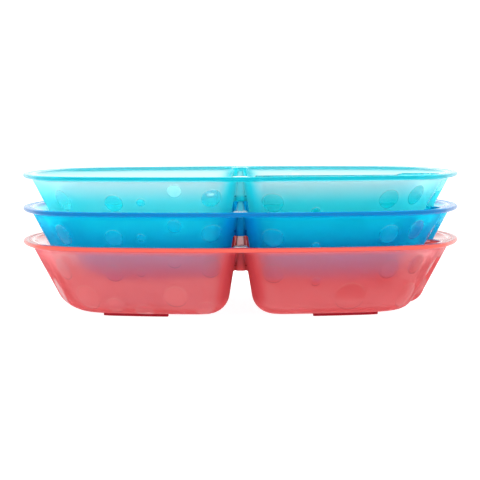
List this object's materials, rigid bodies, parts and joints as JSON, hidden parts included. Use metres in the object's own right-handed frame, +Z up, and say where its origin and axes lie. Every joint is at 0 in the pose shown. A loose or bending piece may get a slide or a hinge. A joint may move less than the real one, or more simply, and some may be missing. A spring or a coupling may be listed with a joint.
{
  "type": "divided plate stack",
  "caption": "Nested stack of shallow rounded-square divided plates in translucent plastic, each with compartments, a ridge between them, an open channel underneath and a thin rim.",
  "frame": {"origin": "middle of the lowest face of the stack, on the surface it rests on", "axes": "+Z up, out of the open side of the plates; -Y towards the front, where the smallest compartment is at the right; +X to the right"},
  "size_m": [0.19, 0.19, 0.0583],
  "materials": {
    "coral_plastic": "translucent, frosted outside with clear dots",
    "blue_plastic": "translucent, frosted outside with clear dots",
    "aqua_plastic": "translucent, frosted outside with clear dots"
  },
  "bodies": {
    "bottom": {"bottom_plate": "coral_plastic"},
    "middle": {"middle_plate": "blue_plastic"},
    "top": {"top_plate": "aqua_plastic"}
  },
  "joints": [
    {"name": "middle_lift", "type": "slide", "parent": "bottom", "child": "middle", "axis": [0, 0, 1], "range_m": [0, 0.04]},
    {"name": "top_lift", "type": "slide", "parent": "middle", "child": "top", "axis": [0, 0, 1], "range_m": [0, 0.04]}
  ]
}
